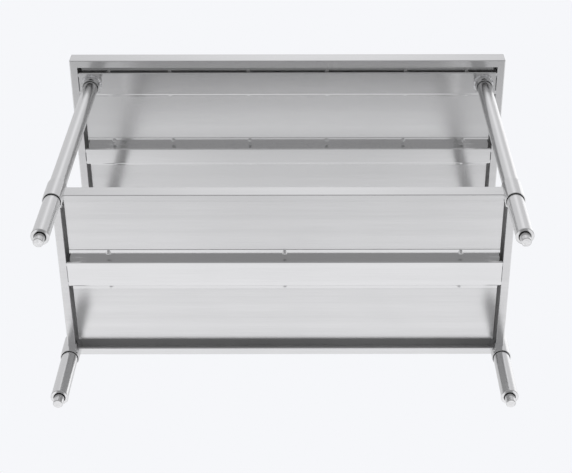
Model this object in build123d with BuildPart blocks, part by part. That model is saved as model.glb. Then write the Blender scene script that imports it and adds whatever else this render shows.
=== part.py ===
from build123d import *

import os

# Stainless steel work table with an undershelf.
# Millimetres, +Z up, +X along the table, front at -Y.
# The origin is on the floor, under the centre of the worktop.

# Worktop
TABLE_LENGTH = 1219.0
TABLE_DEPTH = 600.0
TABLE_HEIGHT = 914.0
TOP_EDGE = 46.0
TOP_LIP = 21.0
TOP_SHEET = 1.5
TOP_BEND = 2.5

# Undershelf
SHELF_LENGTH = 1116.0
SHELF_DEPTH = 469.0
SHELF_TOP_Z = 254.0
SHELF_EDGE = 40.5
SHELF_LIP = 19.0
SHELF_SHEET = 1.2
SHELF_BEND = 2.2

# Folded sheet details shared by both pans
HEM_HEIGHT = 5.0

# Steel-faced backing panels inside the pans, small enough to pass between the lips
TOP_BACKING = 12.5
TOP_BACKING_LENGTH = 1164.0
TOP_BACKING_DEPTH = 546.0
SHELF_BACKING = 15.0
SHELF_BACKING_LENGTH = 1066.0
SHELF_BACKING_DEPTH = 406.0

# Hat channels: stiffeners with two flanges under each backing panel
CHANNEL_SHEET = 1.5
CHANNEL_BEND = 3.0
LEG_CHANNEL_WIDTH = 68.5
MID_CHANNEL_WIDTH = 50.0
TOP_FLANGE = 19.3
TOP_CHANNEL_GAP = 2.4
SHELF_CHANNEL_WIDTH = 70.5
SHELF_CHANNEL_Y = -10.0
SHELF_FLANGE = 21.5
SHELF_CHANNEL_GAP = 1.2

# Tack welds that close the slit between a channel's end and the side lip
TACK_LENGTH = 9.0
TACK_HEIGHT = 2.4

# Legs
LEG_RADIUS = 20.65
LEG_WALL = 1.5
LEG_X = 551.5
LEG_Y = 229.0

# Leg sockets under the leg channels
SOCKET_DROP = 28.0
SOCKET_OUTER = 24.3
SOCKET_INNER = 22.25
SOCKET_WELD = 5.0

# Shelf sleeves round the legs
SLEEVE_OUTER = 24.0
SLEEVE_INNER = 22.2
SLEEVE_BELOW_LIP = 23.0
SLEEVE_LENGTH = 75.0
SLEEVE_BOSS_RADIUS = 4.6
SLEEVE_BOSS_REACH = 27.0
SLOT_LENGTH = 8.0
SLOT_HEIGHT = 2.2
SLOT_ABOVE_LIP = 17.0
SCREW_BELOW_LIP = 11.0

# Set screws
SCREW_RADIUS = 2.95
SCREW_HOLE = 3.0
SCREW_KEY_FLATS = 3.0
SCREW_KEY_DEPTH = 2.5
SCREW_TIP_GAP = 0.3
SCREW_REACH = 28.4

# Weld studs and cap nuts, and how far they stand from a channel's wall
STUD_RADIUS = 2.45
STUD_HOLE = 2.8
STUD_LENGTH = 6.8
NUT_FLATS = 10.0
NUT_HEX_HEIGHT = 4.2
NUT_DOME_RADIUS = 4.2
NUT_BORE = 2.5
NUT_BORE_DEPTH = 5.8
TOP_STUD_OFFSET = 11.2
SHELF_STUD_OFFSET = 13.2
TOP_STUD_X = (-507.0, -334.5, -111.5, 111.5, 334.5, 507.0)
SHELF_STUD_X = (-436.0, 0.0, 436.0)

# Levelling feet
FOOT_DROP = 26.5
FOOT_TOP_Z = 44.0
FOOT_RADIUS = 12.5
FOOT_WAIST = 11.8
FOOT_DISC = 10.4
FOOT_DISC_HEIGHT = 1.6
FOOT_STUD_RADIUS = 6.0
FOOT_STUD_SEAT_Z = 26.0
FOOT_STUD_TOP_Z = 88.0
FOOT_STUD_CLEARANCE = 0.02
INSERT_COLLAR = 21.6
INSERT_COLLAR_HEIGHT = 3.5
INSERT_BODY_CLEARANCE = 0.05
INSERT_BORE = 14.8
INSERT_BORE_TOP_Z = 52.0
INSERT_TOP_Z = 66.0
INSERT_THREAD = 6.05

# Levels and places worked out from the sizes above
TOP_LIP_Z = TABLE_HEIGHT - TOP_EDGE
TOP_UNDERSIDE_Z = TABLE_HEIGHT - TOP_SHEET
SHELF_LIP_Z = SHELF_TOP_Z - SHELF_EDGE
TOP_BACKING_Z = TOP_UNDERSIDE_Z - TOP_BACKING
SHELF_UNDERSIDE_Z = SHELF_TOP_Z - SHELF_SHEET
SHELF_BACKING_Z = SHELF_UNDERSIDE_Z - SHELF_BACKING
SLEEVE_BOTTOM_Z = SHELF_LIP_Z - SLEEVE_BELOW_LIP
SHELF_SCREW_Z = SHELF_LIP_Z - SCREW_BELOW_LIP
SOCKET_BOTTOM_Z = TOP_LIP_Z - SOCKET_DROP
SOCKET_SCREW_Z = SOCKET_BOTTOM_Z + SOCKET_DROP / 2
LEG_INNER = LEG_RADIUS - LEG_WALL
LEG_BOTTOM_Z = FOOT_DROP + INSERT_COLLAR_HEIGHT
TOP_WEB_HALF = TABLE_LENGTH / 2 - TOP_LIP - TOP_CHANNEL_GAP
SHELF_WEB_HALF = SHELF_LENGTH / 2 - SHELF_LIP - SHELF_CHANNEL_GAP

CORNERS = {
    "front_left": (-1, -1),
    "front_right": (1, -1),
    "rear_left": (-1, 1),
    "rear_right": (1, 1),
}
LEG_POINTS = [(sx * LEG_X, sy * LEG_Y) for sx, sy in CORNERS.values()]

os.makedirs("parts", exist_ok=True)


def save(part, name):
    part.label = name
    export_step(part, f"parts/{name}.step")


def inboard_plane(sx, sy, z):
    """Plane on a leg's axis whose normal points level, diagonally towards the table's middle."""
    return Plane(origin=(sx * LEG_X, sy * LEG_Y, z), x_dir=(sy, -sx, 0), z_dir=(-sx, -sy, 0))


def folded_pan(length, depth, top_z, edge, lip, sheet, bend):
    """Sheet turned down on all four sides, then in as a lip, then up as a short hem."""
    lip_z = top_z - edge
    with BuildPart() as pan:
        with BuildSketch(Plane.XY.offset(lip_z)):
            Rectangle(length, depth)
        extrude(amount=edge)
        fillet(pan.edges(), bend)
        with BuildSketch(Plane.XY.offset(lip_z + sheet)):
            Rectangle(length - 2 * sheet, depth - 2 * sheet)
        extrude(amount=edge - 2 * sheet, mode=Mode.SUBTRACT)
        with BuildSketch(Plane.XY.offset(lip_z)):
            Rectangle(length - 2 * lip, depth - 2 * lip)
        extrude(amount=sheet, mode=Mode.SUBTRACT)
        with BuildSketch(Plane.XY.offset(lip_z + sheet)):
            Rectangle(length - 2 * lip + 2 * sheet, depth - 2 * lip + 2 * sheet)
            Rectangle(length - 2 * lip, depth - 2 * lip, mode=Mode.SUBTRACT)
        extrude(amount=HEM_HEIGHT)
    return pan


def backing(length, depth, bottom_z, thickness):
    """Flat panel under a pan's sheet."""
    with BuildPart() as panel:
        with BuildSketch(Plane.XY.offset(bottom_z)):
            Rectangle(length, depth)
        extrude(amount=thickness)
    return panel


def stud_points(stud_x, centre_y, reach):
    """Stud places on both flanges of one channel."""
    return [(x, centre_y + side * reach) for side in (-1, 1) for x in stud_x]


def hat_channel(web_half, wall_half, centre_y, width, flange, bottom_z, top_z, points):
    """Hat section along X: a web at the bottom, two shorter walls and two flanges at the top."""
    height = top_z - bottom_z
    with BuildPart() as channel:
        with BuildSketch(Plane.YZ.offset(-web_half)) as section:
            with Locations((centre_y, bottom_z + height / 2)):
                Rectangle(width, height)
            fillet(section.vertices().group_by(Axis.Z)[0], CHANNEL_BEND)
            with Locations((centre_y, top_z - CHANNEL_SHEET / 2)):
                Rectangle(width + 2 * flange, CHANNEL_SHEET)
        extrude(amount=2 * web_half)
        with BuildSketch(Plane.YZ.offset(-web_half)) as hollow:
            with Locations((centre_y, bottom_z + (height + CHANNEL_SHEET) / 2)):
                Rectangle(width - 2 * CHANNEL_SHEET, height - CHANNEL_SHEET)
            fillet(hollow.vertices().group_by(Axis.Z)[0], CHANNEL_BEND - CHANNEL_SHEET)
        extrude(amount=2 * web_half, mode=Mode.SUBTRACT)
        with BuildSketch(Plane.XY.offset(bottom_z + CHANNEL_BEND)):
            with Locations((0, centre_y)):
                Rectangle(2 * web_half, width + 2 * flange)
                Rectangle(2 * wall_half, width + 2 * flange, mode=Mode.SUBTRACT)
        extrude(amount=height, mode=Mode.SUBTRACT)
        with BuildSketch(Plane.XY.offset(top_z)):
            with Locations(*points):
                Circle(STUD_HOLE)
        extrude(amount=-CHANNEL_SHEET, mode=Mode.SUBTRACT)
    return channel


def weld_studs(points, seat_z):
    with BuildPart() as studs:
        with BuildSketch(Plane.XY.offset(seat_z)):
            with Locations(*points):
                Circle(STUD_RADIUS)
        extrude(amount=-STUD_LENGTH)
    return studs


def cap_nuts(points, seat_z):
    """Hexagonal cap nuts with round domes, pointing down from the flanges."""
    with BuildPart() as nuts:
        with BuildSketch(Plane.XY.offset(seat_z)):
            with Locations(*points):
                RegularPolygon(NUT_FLATS / 2, 6, major_radius=False)
        extrude(amount=-NUT_HEX_HEIGHT)
        with Locations(*[(x, y, seat_z - NUT_HEX_HEIGHT) for x, y in points]):
            Sphere(NUT_DOME_RADIUS)
        with BuildSketch(Plane.XY.offset(seat_z)):
            with Locations(*points):
                Circle(NUT_BORE)
        extrude(amount=-NUT_BORE_DEPTH, mode=Mode.SUBTRACT)
    return nuts


def tack_welds(half_length, gap, bottom_z, channels):
    """Short welds at both corners of each channel end, filling the slit beside the lip."""
    with BuildPart() as tacks:
        with BuildSketch(Plane.XY.offset(bottom_z)):
            for centre_y, width in channels:
                reach = width / 2 - CHANNEL_BEND - TACK_LENGTH / 2
                places = [(end * (half_length + gap / 2), centre_y + side * reach)
                          for end in (-1, 1) for side in (-1, 1)]
                with Locations(*places):
                    Rectangle(gap, TACK_LENGTH)
        extrude(amount=TACK_HEIGHT)
    return tacks


def set_screws(z):
    """Socket set screws, one at each leg, pointing at the leg's axis."""
    tip = LEG_RADIUS + SCREW_TIP_GAP
    with BuildPart() as screws:
        for sx, sy in CORNERS.values():
            with BuildSketch(inboard_plane(sx, sy, z).offset(tip)):
                Circle(SCREW_RADIUS)
            extrude(amount=SCREW_REACH - tip)
            with BuildSketch(inboard_plane(sx, sy, z).offset(SCREW_REACH)):
                RegularPolygon(SCREW_KEY_FLATS / 2, 6, major_radius=False)
            extrude(amount=-SCREW_KEY_DEPTH, mode=Mode.SUBTRACT)
    return screws


# ---------------------------------------------------------------- worktop

top_pan = folded_pan(TABLE_LENGTH, TABLE_DEPTH, TABLE_HEIGHT, TOP_EDGE, TOP_LIP, TOP_SHEET, TOP_BEND)
save(top_pan.part, "top_pan")

top_backing = backing(TOP_BACKING_LENGTH, TOP_BACKING_DEPTH, TOP_BACKING_Z, TOP_BACKING)
save(top_backing.part, "top_backing")

TOP_CHANNELS = {
    "front": (-LEG_Y, LEG_CHANNEL_WIDTH),
    "middle": (0.0, MID_CHANNEL_WIDTH),
    "rear": (LEG_Y, LEG_CHANNEL_WIDTH),
}
for place, (channel_y, channel_width) in TOP_CHANNELS.items():
    points = stud_points(TOP_STUD_X, channel_y, channel_width / 2 + TOP_STUD_OFFSET)
    top_channel = hat_channel(
        TOP_WEB_HALF, TOP_BACKING_LENGTH / 2, channel_y, channel_width, TOP_FLANGE,
        TOP_LIP_Z, TOP_BACKING_Z, points)
    save(top_channel.part, f"top_{place}_channel")

    top_studs = weld_studs(points, TOP_BACKING_Z)
    save(top_studs.part, f"top_{place}_weld_studs")

    top_nuts = cap_nuts(points, TOP_BACKING_Z - CHANNEL_SHEET)
    save(top_nuts.part, f"top_{place}_cap_nuts")

top_tacks = tack_welds(TOP_WEB_HALF, TOP_CHANNEL_GAP, TOP_LIP_Z, TOP_CHANNELS.values())
save(top_tacks.part, "top_tack_welds")

# ---------------------------------------------------------------- leg sockets

for corner, (sx, sy) in CORNERS.items():
    with BuildPart() as leg_socket:
        with BuildSketch(Plane.XY.offset(SOCKET_BOTTOM_Z)):
            with Locations((sx * LEG_X, sy * LEG_Y)):
                Circle(SOCKET_OUTER)
                Circle(SOCKET_INNER, mode=Mode.SUBTRACT)
        extrude(amount=SOCKET_DROP)
        with BuildSketch(inboard_plane(sx, sy, SOCKET_SCREW_Z)):
            Circle(SCREW_HOLE)
        extrude(amount=SCREW_REACH, mode=Mode.SUBTRACT)
    save(leg_socket.part, f"leg_socket_{corner}")

with BuildPart() as socket_welds:
    for leg_x, leg_y in LEG_POINTS:
        with BuildSketch(Plane.XZ.offset(-leg_y)):
            with Locations((leg_x, TOP_LIP_Z)):
                Polygon((SOCKET_OUTER, 0), (SOCKET_OUTER + SOCKET_WELD, 0), (SOCKET_OUTER, -SOCKET_WELD),
                        align=None)
        revolve(axis=Axis((leg_x, leg_y, 0), (0, 0, 1)))
save(socket_welds.part, "leg_socket_welds")

socket_screws = set_screws(SOCKET_SCREW_Z)
save(socket_screws.part, "leg_socket_set_screws")

# ---------------------------------------------------------------- legs and feet

for corner, (sx, sy) in CORNERS.items():
    with BuildPart() as leg:
        with BuildSketch(Plane.XY.offset(LEG_BOTTOM_Z)):
            with Locations((sx * LEG_X, sy * LEG_Y)):
                Circle(LEG_RADIUS)
                Circle(LEG_INNER, mode=Mode.SUBTRACT)
        extrude(amount=TOP_LIP_Z - LEG_BOTTOM_Z)
    save(leg.part, f"leg_{corner}")

    leg_axis = Axis((sx * LEG_X, sy * LEG_Y, 0), (0, 0, 1))
    insert_body = LEG_INNER - INSERT_BODY_CLEARANCE
    with BuildPart() as foot_insert:
        with BuildSketch(Plane.XZ.offset(-sy * LEG_Y)):
            with Locations((sx * LEG_X, 0)):
                Polygon(
                    (INSERT_BORE, FOOT_DROP),
                    (INSERT_COLLAR - 1.0, FOOT_DROP),
                    (INSERT_COLLAR, FOOT_DROP + 1.0),
                    (INSERT_COLLAR, LEG_BOTTOM_Z),
                    (insert_body, LEG_BOTTOM_Z),
                    (insert_body, INSERT_TOP_Z),
                    (INSERT_THREAD, INSERT_TOP_Z),
                    (INSERT_THREAD, INSERT_BORE_TOP_Z),
                    (INSERT_BORE, INSERT_BORE_TOP_Z),
                    align=None,
                )
        revolve(axis=leg_axis)
    save(foot_insert.part, f"foot_insert_{corner}")

    seat_radius = FOOT_STUD_RADIUS + FOOT_STUD_CLEARANCE
    with BuildPart() as foot:
        with BuildSketch(Plane.XZ.offset(-sy * LEG_Y)):
            with Locations((sx * LEG_X, 0)):
                Polygon(
                    (0, 0),
                    (FOOT_DISC, 0),
                    (FOOT_WAIST, FOOT_DISC_HEIGHT),
                    (FOOT_RADIUS, FOOT_STUD_SEAT_Z),
                    (FOOT_RADIUS, FOOT_TOP_Z),
                    (seat_radius, FOOT_TOP_Z),
                    (seat_radius, FOOT_STUD_SEAT_Z),
                    (0, FOOT_STUD_SEAT_Z),
                    align=None,
                )
        revolve(axis=leg_axis)
    save(foot.part, f"foot_{corner}")

    with BuildPart() as foot_stud:
        with BuildSketch(Plane.XY.offset(FOOT_STUD_SEAT_Z)):
            with Locations((sx * LEG_X, sy * LEG_Y)):
                Circle(FOOT_STUD_RADIUS)
        extrude(amount=FOOT_STUD_TOP_Z - FOOT_STUD_SEAT_Z)
    save(foot_stud.part, f"foot_stud_{corner}")

# ---------------------------------------------------------------- undershelf

shelf_blank = folded_pan(
    SHELF_LENGTH, SHELF_DEPTH, SHELF_TOP_Z, SHELF_EDGE, SHELF_LIP, SHELF_SHEET, SHELF_BEND)
with BuildPart() as shelf_pan:
    add(shelf_blank.part)
    with BuildSketch(Plane.XY.offset(SHELF_LIP_Z)):
        with Locations(*LEG_POINTS):
            Circle(SLEEVE_OUTER)
    extrude(amount=SHELF_EDGE, mode=Mode.SUBTRACT)
save(shelf_pan.part, "shelf_pan")

shelf_backing = backing(SHELF_BACKING_LENGTH, SHELF_BACKING_DEPTH, SHELF_BACKING_Z, SHELF_BACKING)
save(shelf_backing.part, "shelf_backing")

shelf_points = stud_points(SHELF_STUD_X, SHELF_CHANNEL_Y, SHELF_CHANNEL_WIDTH / 2 + SHELF_STUD_OFFSET)
shelf_channel = hat_channel(
    SHELF_WEB_HALF, SHELF_BACKING_LENGTH / 2, SHELF_CHANNEL_Y, SHELF_CHANNEL_WIDTH, SHELF_FLANGE,
    SHELF_LIP_Z, SHELF_BACKING_Z, shelf_points)
save(shelf_channel.part, "shelf_channel")

shelf_studs = weld_studs(shelf_points, SHELF_BACKING_Z)
save(shelf_studs.part, "shelf_weld_studs")

shelf_nuts = cap_nuts(shelf_points, SHELF_BACKING_Z - CHANNEL_SHEET)
save(shelf_nuts.part, "shelf_cap_nuts")

shelf_tacks = tack_welds(
    SHELF_WEB_HALF, SHELF_CHANNEL_GAP, SHELF_LIP_Z, [(SHELF_CHANNEL_Y, SHELF_CHANNEL_WIDTH)])
save(shelf_tacks.part, "shelf_tack_welds")

for corner, (sx, sy) in CORNERS.items():
    with BuildPart() as sleeve:
        with BuildSketch(Plane.XY.offset(SLEEVE_BOTTOM_Z)):
            with Locations((sx * LEG_X, sy * LEG_Y)):
                Circle(SLEEVE_OUTER)
        extrude(amount=SLEEVE_LENGTH)
        with BuildSketch(inboard_plane(sx, sy, SHELF_SCREW_Z)):
            Circle(SLEEVE_BOSS_RADIUS)
        extrude(amount=SLEEVE_BOSS_REACH)
        with BuildSketch(Plane.XY.offset(SLEEVE_BOTTOM_Z)):
            with Locations((sx * LEG_X, sy * LEG_Y)):
                Circle(SLEEVE_INNER)
        extrude(amount=SLEEVE_LENGTH, mode=Mode.SUBTRACT)
        with BuildSketch(inboard_plane(sx, sy, SHELF_SCREW_Z)):
            Circle(SCREW_HOLE)
        extrude(amount=SLEEVE_BOSS_REACH, mode=Mode.SUBTRACT)
        with BuildSketch(inboard_plane(sx, sy, SHELF_LIP_Z + SLOT_ABOVE_LIP)):
            SlotOverall(SLOT_LENGTH, SLOT_HEIGHT)
        extrude(amount=SLEEVE_BOSS_REACH, mode=Mode.SUBTRACT)
    save(sleeve.part, f"shelf_sleeve_{corner}")

shelf_screws = set_screws(SHELF_SCREW_Z)
save(shelf_screws.part, "shelf_set_screws")
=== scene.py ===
import math

import bpy
from mathutils import Euler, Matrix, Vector


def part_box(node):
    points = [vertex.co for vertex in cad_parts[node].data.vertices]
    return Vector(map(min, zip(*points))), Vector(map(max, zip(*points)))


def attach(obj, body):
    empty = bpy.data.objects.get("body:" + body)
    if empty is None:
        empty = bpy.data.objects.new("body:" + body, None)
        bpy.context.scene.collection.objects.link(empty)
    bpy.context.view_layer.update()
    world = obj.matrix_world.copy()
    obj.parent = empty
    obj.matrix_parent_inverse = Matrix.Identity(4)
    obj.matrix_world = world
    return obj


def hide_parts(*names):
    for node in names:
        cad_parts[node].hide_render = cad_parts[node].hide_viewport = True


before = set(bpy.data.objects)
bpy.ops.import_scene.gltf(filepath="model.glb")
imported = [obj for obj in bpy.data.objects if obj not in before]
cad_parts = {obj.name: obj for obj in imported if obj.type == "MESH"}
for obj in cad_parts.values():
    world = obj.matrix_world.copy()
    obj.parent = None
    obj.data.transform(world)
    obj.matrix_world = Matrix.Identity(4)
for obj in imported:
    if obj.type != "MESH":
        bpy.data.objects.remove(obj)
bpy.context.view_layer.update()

MM = 0.001
CORNERS = ("front_left", "front_right", "rear_left", "rear_right")

# Camera: below the table and in front of it, looking steeply up at the undersides.
# Place in metres, angles in degrees, lens and sensor in millimetres.
CAMERA_PLACE = (0.0627, -1.7772, -2.5720)
CAMERA_PITCH = 59.226
CAMERA_YAW = -0.083
CAMERA_ROLL = -0.072
CAMERA_LENS = 83.74
CAMERA_SENSOR = 36.0
CAMERA_SHIFT_X = -0.0385
CAMERA_CLIP = (0.05, 60)

# Floor, and the flat background that the camera sees in place of the world's light
BACKGROUND = (0.922, 0.930, 0.956)
FLOOR_HALF = 9.0
FLOOR_DARK = (0.80, 0.81, 0.83, 1)
FLOOR_LIGHT = (0.84, 0.85, 0.87, 1)

# Light levels of the world by direction in the room, fitted to the greys of the photograph
ABOVE_MIDDLE = 0.92
ABOVE_SIDES = 0.68
BELOW_BEHIND = 1.02
BELOW_BEHIND_STEEP = 0.30
BELOW_FRONT = 0.40
BLUE_CAST = 1.02

# Where those levels change, in the parts of a direction of length 1
SIDES_FROM = 0.3
STEEP_TO_SHALLOW = (-0.92, -0.86)
FRONT_TO_BEHIND = (-0.1, 0.35)
HORIZON = (-0.10, 0.10)

# Softbox
KEY_PLACE = (2.8, 1.0, 4.2)
KEY_AIM = (0, 0, 0.6)
KEY_SIZE = (3.2, 3.2)
KEY_POWER = 16

# Grain: how tightly the noise is packed along X, Y and Z. A low number is the way it runs.
ALONG_X = (6, 900, 900)
ALONG_Z = (900, 900, 6)
SOCKET_GRAIN = (900, 900, 60)
FOOT_GRAIN = (120, 120, 900)
EVEN_GRAIN = (900, 900, 900)
SHEET_RUN = (1, 0, 0.1)
TUBE_RUN = (0, 0.1, 1)

# Mill finish on the inner faces of the folded pans, a guess; its grey is also painted light that
# lifts the shade in the deep folds
MILL_AND_PAINTED_LIGHT_LOW = 0.58
MILL_AND_PAINTED_LIGHT_HIGH = 0.66
MILL_EXTRA_ROUGHNESS = 0.4
MILL_LESS_METALLIC = 0.5

# Weld metal, from grey oxide to bright ridges
OXIDE = (0.50, 0.50, 0.51, 1)
BRIGHT_WELD = (0.95, 0.95, 0.96, 1)

# Weld beads: steps round a socket and across a bead, and how deep a bead sits in the tube
BEAD_RINGS = 144
BEAD_PROFILE = 6
BEAD_SINK = 0.2 * MM


# ------------------------------------------------------------------ node helpers

class Nodes:
    """A short way to build the node tree of a material or of the world."""

    def __init__(self, owner, output="ShaderNodeOutputMaterial"):
        owner.use_nodes = True
        self.owner = owner
        self.tree = owner.node_tree
        self.tree.nodes.clear()
        self.output = self.tree.nodes.new(output)

    def add(self, kind, inputs=None, **settings):
        node = self.tree.nodes.new(kind)
        for key, value in settings.items():
            setattr(node, key, value)
        for key, value in (inputs or {}).items():
            self.feed(node.inputs[key], value)
        return node

    def feed(self, socket, value):
        if isinstance(value, bpy.types.NodeSocket):
            self.tree.links.new(value, socket)
        else:
            socket.default_value = value

    def math(self, operation, a, b=0.0):
        node = self.add("ShaderNodeMath", {0: a, 1: b}, operation=operation)
        return node.outputs[0]

    def remap(self, value, low, high, new_low, new_high, kind="LINEAR"):
        node = self.add("ShaderNodeMapRange",
                        {"Value": value, "From Min": low, "From Max": high,
                         "To Min": new_low, "To Max": new_high}, interpolation_type=kind)
        return node.outputs["Result"]

    def noise(self, vector, stretch, scale=1.0, detail=3.0, roughness=0.55):
        scaled = self.add("ShaderNodeMapping", {"Vector": vector, "Scale": stretch})
        node = self.add("ShaderNodeTexNoise",
                        {"Vector": scaled.outputs[0], "Scale": scale, "Detail": detail,
                         "Roughness": roughness})
        return node.outputs["Fac"]

    def mix(self, factor, a, b):
        node = self.add("ShaderNodeMix", data_type="RGBA")
        self.feed(node.inputs["Factor"], factor)
        self.feed(node.inputs["A"], a)
        self.feed(node.inputs["B"], b)
        return node.outputs["Result"]


def grey(value):
    return (value, value, value, 1.0)


def brushed_steel(name, light, dark, roughness, grain, run=SHEET_RUN, anisotropy=0.6,
                  mill_and_painted_light_centre=None):
    """Stainless steel with a fine grain. grain is the stretch of the noise along X, Y and Z,
    and run is the grain's direction, which smears reflections at right angles to itself.
    mill_and_painted_light_centre is the centre of a folded pan: faces turned towards it get a
    duller, half-metal finish. That finish is a guess, and its grey is also painted light that
    keeps the deep folds from rendering nearly black."""
    n = Nodes(bpy.data.materials.new(name))
    place = n.add("ShaderNodeTexCoord").outputs["Object"]
    normal = n.add("ShaderNodeNewGeometry").outputs["Normal"]
    fine = n.noise(place, grain, 1.0, 4.0, 0.6)
    broad = n.noise(place, [g * 0.04 for g in grain], 1.0, 3.0)
    clouds = n.noise(place, (3.0, 5.0, 5.0), 1.0, 3.0)
    shade = n.math("ADD", n.math("MULTIPLY", fine, 0.45), n.math("MULTIPLY", broad, 0.3))
    shade = n.math("ADD", shade, n.math("MULTIPLY", clouds, 0.25))
    colour = n.mix(n.remap(shade, 0.35, 0.65, 0.0, 1.0), grey(dark), grey(light))
    rough = n.remap(shade, 0.3, 0.7, roughness * 1.18, roughness * 0.85)
    metallic = 1.0
    if mill_and_painted_light_centre is not None:
        inward = n.add("ShaderNodeVectorMath", {0: place, 1: mill_and_painted_light_centre}, operation="SUBTRACT")
        facing = n.add("ShaderNodeVectorMath", {0: normal, 1: inward.outputs[0]},
                       operation="DOT_PRODUCT").outputs["Value"]
        inside = n.math("LESS_THAN", facing, 0.0)
        # Mill grey on the inner faces, a guess, is also painted light that lifts the shade in
        # the deep folds
        mill_grey_and_painted_light = n.mix(n.remap(clouds, 0.35, 0.65, 0, 1), grey(MILL_AND_PAINTED_LIGHT_LOW), grey(MILL_AND_PAINTED_LIGHT_HIGH))
        colour = n.mix(inside, colour, mill_grey_and_painted_light)
        rough = n.math("ADD", rough, n.math("MULTIPLY", inside, MILL_EXTRA_ROUGHNESS))
        metallic = n.math("SUBTRACT", 1.0, n.math("MULTIPLY", inside, MILL_LESS_METALLIC))
    grain_run = n.add("ShaderNodeVectorMath", {0: normal, 1: run}, operation="CROSS_PRODUCT")
    edge = n.add("ShaderNodeBevel", {"Radius": 0.4 * MM}, samples=4)
    bump = n.add("ShaderNodeBump", {"Height": fine, "Strength": 0.06, "Distance": 0.2 * MM,
                                    "Normal": edge.outputs[0]})
    shader = n.add("ShaderNodeBsdfPrincipled",
                   {"Base Color": colour, "Metallic": metallic, "Roughness": rough,
                    "Anisotropic": anisotropy, "Tangent": grain_run.outputs[0],
                    "Normal": bump.outputs[0]})
    n.feed(n.output.inputs["Surface"], shader.outputs[0])
    return n.owner


def bright_metal(name, light, dark, roughness, stretch=EVEN_GRAIN):
    """Turned or plated metal: small scratches, a little wear."""
    n = Nodes(bpy.data.materials.new(name))
    place = n.add("ShaderNodeTexCoord").outputs["Object"]
    marks = n.noise(place, stretch, 1.0, 4.0)
    patches = n.noise(place, (60, 60, 60), 1.0, 2.0)
    shade = n.math("ADD", n.math("MULTIPLY", marks, 0.5), n.math("MULTIPLY", patches, 0.5))
    colour = n.mix(n.remap(shade, 0.35, 0.65, 0, 1), grey(dark), grey(light))
    rough = n.remap(shade, 0.3, 0.7, roughness * 1.3, roughness * 0.8)
    edge = n.add("ShaderNodeBevel", {"Radius": 0.3 * MM}, samples=4)
    bump = n.add("ShaderNodeBump", {"Height": marks, "Strength": 0.05, "Distance": 0.1 * MM,
                                    "Normal": edge.outputs[0]})
    shader = n.add("ShaderNodeBsdfPrincipled",
                   {"Base Color": colour, "Metallic": 1.0, "Roughness": rough,
                    "Normal": bump.outputs[0]})
    n.feed(n.output.inputs["Surface"], shader.outputs[0])
    return n.owner


def weld_metal(name):
    """Bead of stainless weld: ripples, bright ridges and grey oxide, rough."""
    n = Nodes(bpy.data.materials.new(name))
    place = n.add("ShaderNodeTexCoord").outputs["Object"]
    ripples = n.noise(place, (420, 420, 420), 1.0, 4.0, 0.6)
    oxide = n.noise(place, (90, 90, 90), 1.0, 3.0)
    colour = n.mix(n.remap(oxide, 0.35, 0.65, 0, 1), OXIDE, BRIGHT_WELD)
    rough = n.remap(ripples, 0.3, 0.7, 0.22, 0.5)
    bump = n.add("ShaderNodeBump", {"Height": ripples, "Strength": 0.6, "Distance": 0.6 * MM})
    shader = n.add("ShaderNodeBsdfPrincipled",
                   {"Base Color": colour, "Metallic": 1.0, "Roughness": rough,
                    "Normal": bump.outputs[0]})
    n.feed(n.output.inputs["Surface"], shader.outputs[0])
    return n.owner


# ------------------------------------------------------------------ materials of the CAD nodes

def box_centre(node):
    low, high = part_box(node)
    return (low + high) / 2


MATERIALS = {
    "top_pan": brushed_steel("top_sheet", 0.76, 0.70, 0.20, ALONG_X,
                             mill_and_painted_light_centre=box_centre("top_pan")),
    "shelf_pan": brushed_steel("shelf_sheet", 0.76, 0.70, 0.20, ALONG_X,
                               mill_and_painted_light_centre=box_centre("shelf_pan")),
    "backing": brushed_steel("backing_sheet", 0.78, 0.73, 0.20, ALONG_X),
    "channel": brushed_steel("channel_sheet", 0.78, 0.72, 0.12, ALONG_X),
    "leg": brushed_steel("leg_tube", 0.82, 0.76, 0.22, ALONG_Z, run=TUBE_RUN, anisotropy=0.3),
    "socket": brushed_steel("socket_tube", 0.80, 0.72, 0.16, SOCKET_GRAIN, run=TUBE_RUN,
                            anisotropy=0.3),
    "weld": weld_metal("weld_bead"),
    "fastener": bright_metal("bright_fastener", 0.84, 0.72, 0.08),
    "foot": bright_metal("foot_metal", 0.80, 0.72, 0.18, FOOT_GRAIN),
}

NODE_MATERIALS = {"top_pan": "top_pan", "shelf_pan": "shelf_pan", "shelf_channel": "channel",
                  "top_backing": "backing", "shelf_backing": "backing"}
for place in ("front", "middle", "rear"):
    NODE_MATERIALS[f"top_{place}_channel"] = "channel"
    NODE_MATERIALS[f"top_{place}_weld_studs"] = "fastener"
    NODE_MATERIALS[f"top_{place}_cap_nuts"] = "fastener"
NODE_MATERIALS["shelf_cap_nuts"] = "fastener"
for node in ("shelf_weld_studs", "shelf_set_screws", "leg_socket_set_screws"):
    NODE_MATERIALS[node] = "fastener"
for node in ("top_tack_welds", "shelf_tack_welds"):
    NODE_MATERIALS[node] = "weld"
for corner in CORNERS:
    NODE_MATERIALS[f"leg_{corner}"] = "leg"
    NODE_MATERIALS[f"leg_socket_{corner}"] = "socket"
    NODE_MATERIALS[f"shelf_sleeve_{corner}"] = "socket"
    NODE_MATERIALS[f"foot_insert_{corner}"] = "foot"
    NODE_MATERIALS[f"foot_{corner}"] = "foot"
    NODE_MATERIALS[f"foot_stud_{corner}"] = "fastener"

for node, key in NODE_MATERIALS.items():
    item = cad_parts[node]
    if not item.material_slots:
        item.data.materials.append(MATERIALS[key])
    for slot in item.material_slots:
        slot.link = "OBJECT"
        slot.material = MATERIALS[key]


# ------------------------------------------------------------------ weld beads round the sockets

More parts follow.
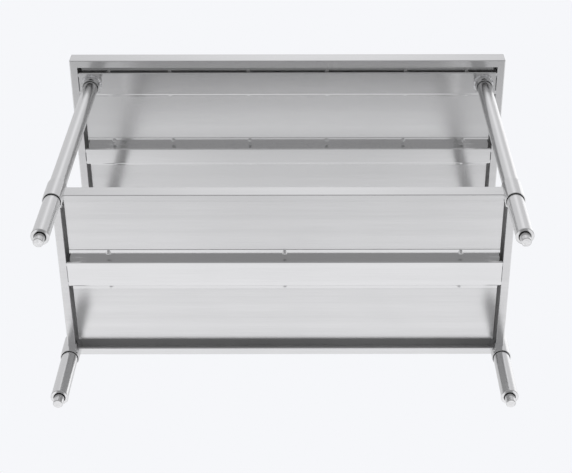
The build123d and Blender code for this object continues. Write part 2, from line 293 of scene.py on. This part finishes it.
def bead_mesh(centres, inner, outer, top):
    """Rippled weld beads in the corner between the channels' face and each socket."""
    points, faces = [], []
    for number, (cx, cy) in enumerate(centres):
        first = len(points)
        loop = BEAD_PROFILE + 2
        for i in range(BEAD_RINGS):
            angle = 2 * math.pi * i / BEAD_RINGS
            ripple = 0.16 * math.sin(24 * angle + number)
            swell = 0.8 + ripple + 0.12 * math.sin(7 * angle + 2 * number)
            width = (outer - inner) * swell
            profile = [(inner - BEAD_SINK, top)]
            for j in range(BEAD_PROFILE + 1):
                turn = math.pi / 2 * j / BEAD_PROFILE
                r = inner - BEAD_SINK + width * math.cos(turn)
                profile.append((r, top - width * math.sin(turn)))
            for r, z in profile:
                points.append((cx + r * math.cos(angle), cy + r * math.sin(angle), z))
        for i in range(BEAD_RINGS):
            here = first + i * loop
            there = first + (i + 1) % BEAD_RINGS * loop
            for j in range(loop):
                k = (j + 1) % loop
                faces.append((here + j, there + j, there + k, here + k))
    mesh = bpy.data.meshes.new("socket_weld_beads")
    mesh.from_pydata(points, [], faces)
    for face in mesh.polygons:
        face.use_smooth = True
    return mesh


def make_weld_beads():
    welds_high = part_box("leg_socket_welds")[1]
    centres = []
    for corner in CORNERS:
        socket = box_centre(f"leg_socket_{corner}")
        centres.append((socket[0], socket[1]))
    tube_low, tube_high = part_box("leg_socket_front_right")
    inner = (tube_high[0] - tube_low[0]) / 2
    outer = welds_high[0] - max(x for x, y in centres)
    mesh = bead_mesh(centres, inner, outer, welds_high[2])
    mesh.materials.append(MATERIALS["weld"])
    beads = bpy.data.objects.new("socket_weld_beads", mesh)
    bpy.context.scene.collection.objects.link(beads)
    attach(beads, "table")
    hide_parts("leg_socket_welds")


make_weld_beads()


# ------------------------------------------------------------------ studio

def make_world():
    """A pale studio. The light on the table depends on direction in the room, not on where
    the camera is, and its levels are fitted to the photograph. The camera itself sees a flat
    background in its place."""
    world = bpy.data.worlds.new("studio")
    bpy.context.scene.world = world
    n = Nodes(world, "ShaderNodeOutputWorld")
    way = n.add("ShaderNodeTexCoord").outputs["Generated"]
    split = n.add("ShaderNodeSeparateXYZ", {0: way})
    x, y, z = split.outputs

    def smooth(value, low, high, new_low=0.0, new_high=1.0):
        return n.remap(value, low, high, new_low, new_high, "SMOOTHSTEP")

    # Upper half: a broad band from front to back over the middle, brighter than the sides
    upper = smooth(n.math("ABSOLUTE", x), 0.0, SIDES_FROM, ABOVE_MIDDLE, ABOVE_SIDES)
    # Lower half: bright behind, with a quick fall to dim steeply down, and dim in front
    behind = smooth(z, *STEEP_TO_SHALLOW, BELOW_BEHIND_STEEP, BELOW_BEHIND)
    lower = n.math("ADD", n.math("MULTIPLY", smooth(y, *FRONT_TO_BEHIND), behind),
                   smooth(y, *FRONT_TO_BEHIND, BELOW_FRONT, 0.0))
    up = smooth(z, *HORIZON)
    level = n.math("ADD", n.math("MULTIPLY", up, upper),
                   n.math("MULTIPLY", n.math("SUBTRACT", 1.0, up), lower))
    blue = n.math("MULTIPLY", level, BLUE_CAST)
    tint = n.add("ShaderNodeCombineColor", {0: level, 1: level, 2: blue})
    lighting = n.add("ShaderNodeBackground", {"Color": tint.outputs[0]})
    seen = n.add("ShaderNodeBackground", {"Color": (*BACKGROUND, 1)})
    direct = n.add("ShaderNodeLightPath").outputs["Is Camera Ray"]
    both = n.add("ShaderNodeMixShader", {0: direct, 1: lighting.outputs[0], 2: seen.outputs[0]})
    n.feed(n.output.inputs["Surface"], both.outputs[0])


def make_floor():
    """Pale floor under the feet. Its underside is clear, so that the camera below sees the
    table. It isn't reflected, bounces no light and casts no shadow."""
    mesh = bpy.data.meshes.new("floor")
    h = FLOOR_HALF
    mesh.from_pydata([(-h, -h, 0), (h, -h, 0), (h, h, 0), (-h, h, 0)], [], [(0, 1, 2, 3)])
    floor = bpy.data.objects.new("floor", mesh)
    bpy.context.scene.collection.objects.link(floor)
    n = Nodes(bpy.data.materials.new("pale_floor"))
    place = n.add("ShaderNodeTexCoord").outputs["Object"]
    tone = n.noise(place, (1.5, 1.5, 1.5), 1.0, 2.0)
    colour = n.mix(n.remap(tone, 0.3, 0.7, 0, 1), FLOOR_DARK, FLOOR_LIGHT)
    shader = n.add("ShaderNodeBsdfPrincipled", {"Base Color": colour, "Roughness": 0.8})
    clear = n.add("ShaderNodeBsdfTransparent")
    under = n.add("ShaderNodeNewGeometry").outputs["Backfacing"]
    both = n.add("ShaderNodeMixShader", {0: under, 1: shader.outputs[0], 2: clear.outputs[0]})
    n.feed(n.output.inputs["Surface"], both.outputs[0])
    mesh.materials.append(n.owner)
    floor.visible_glossy = False
    floor.visible_diffuse = False
    floor.visible_shadow = False
    floor.visible_transmission = False


def softbox(name, place, aim, size, power):
    data = bpy.data.lights.new(name, "AREA")
    data.shape = "RECTANGLE"
    data.size, data.size_y = size
    data.energy = power
    light = bpy.data.objects.new(name, data)
    light.location = place
    light.rotation_euler = (Vector(aim) - Vector(place)).to_track_quat("-Z", "Y").to_euler()
    bpy.context.scene.collection.objects.link(light)


def make_camera():
    data = bpy.data.cameras.new("camera")
    data.sensor_width = CAMERA_SENSOR
    data.lens = CAMERA_LENS
    data.shift_x = CAMERA_SHIFT_X
    data.clip_start, data.clip_end = CAMERA_CLIP
    camera = bpy.data.objects.new("camera", data)
    camera.location = CAMERA_PLACE
    tilt = Euler((math.radians(90 + CAMERA_PITCH), 0, 0)).to_matrix()
    turn = Euler((0, math.radians(-CAMERA_YAW), 0)).to_matrix()
    roll = Euler((0, 0, math.radians(CAMERA_ROLL))).to_matrix()
    camera.rotation_euler = (tilt @ turn @ roll).to_euler()
    bpy.context.scene.collection.objects.link(camera)
    bpy.context.scene.camera = camera


make_world()
make_floor()
softbox("key", KEY_PLACE, KEY_AIM, KEY_SIZE, KEY_POWER)
make_camera()

scene = bpy.context.scene
scene.view_settings.view_transform = "Standard"
scene.view_settings.look = "None"
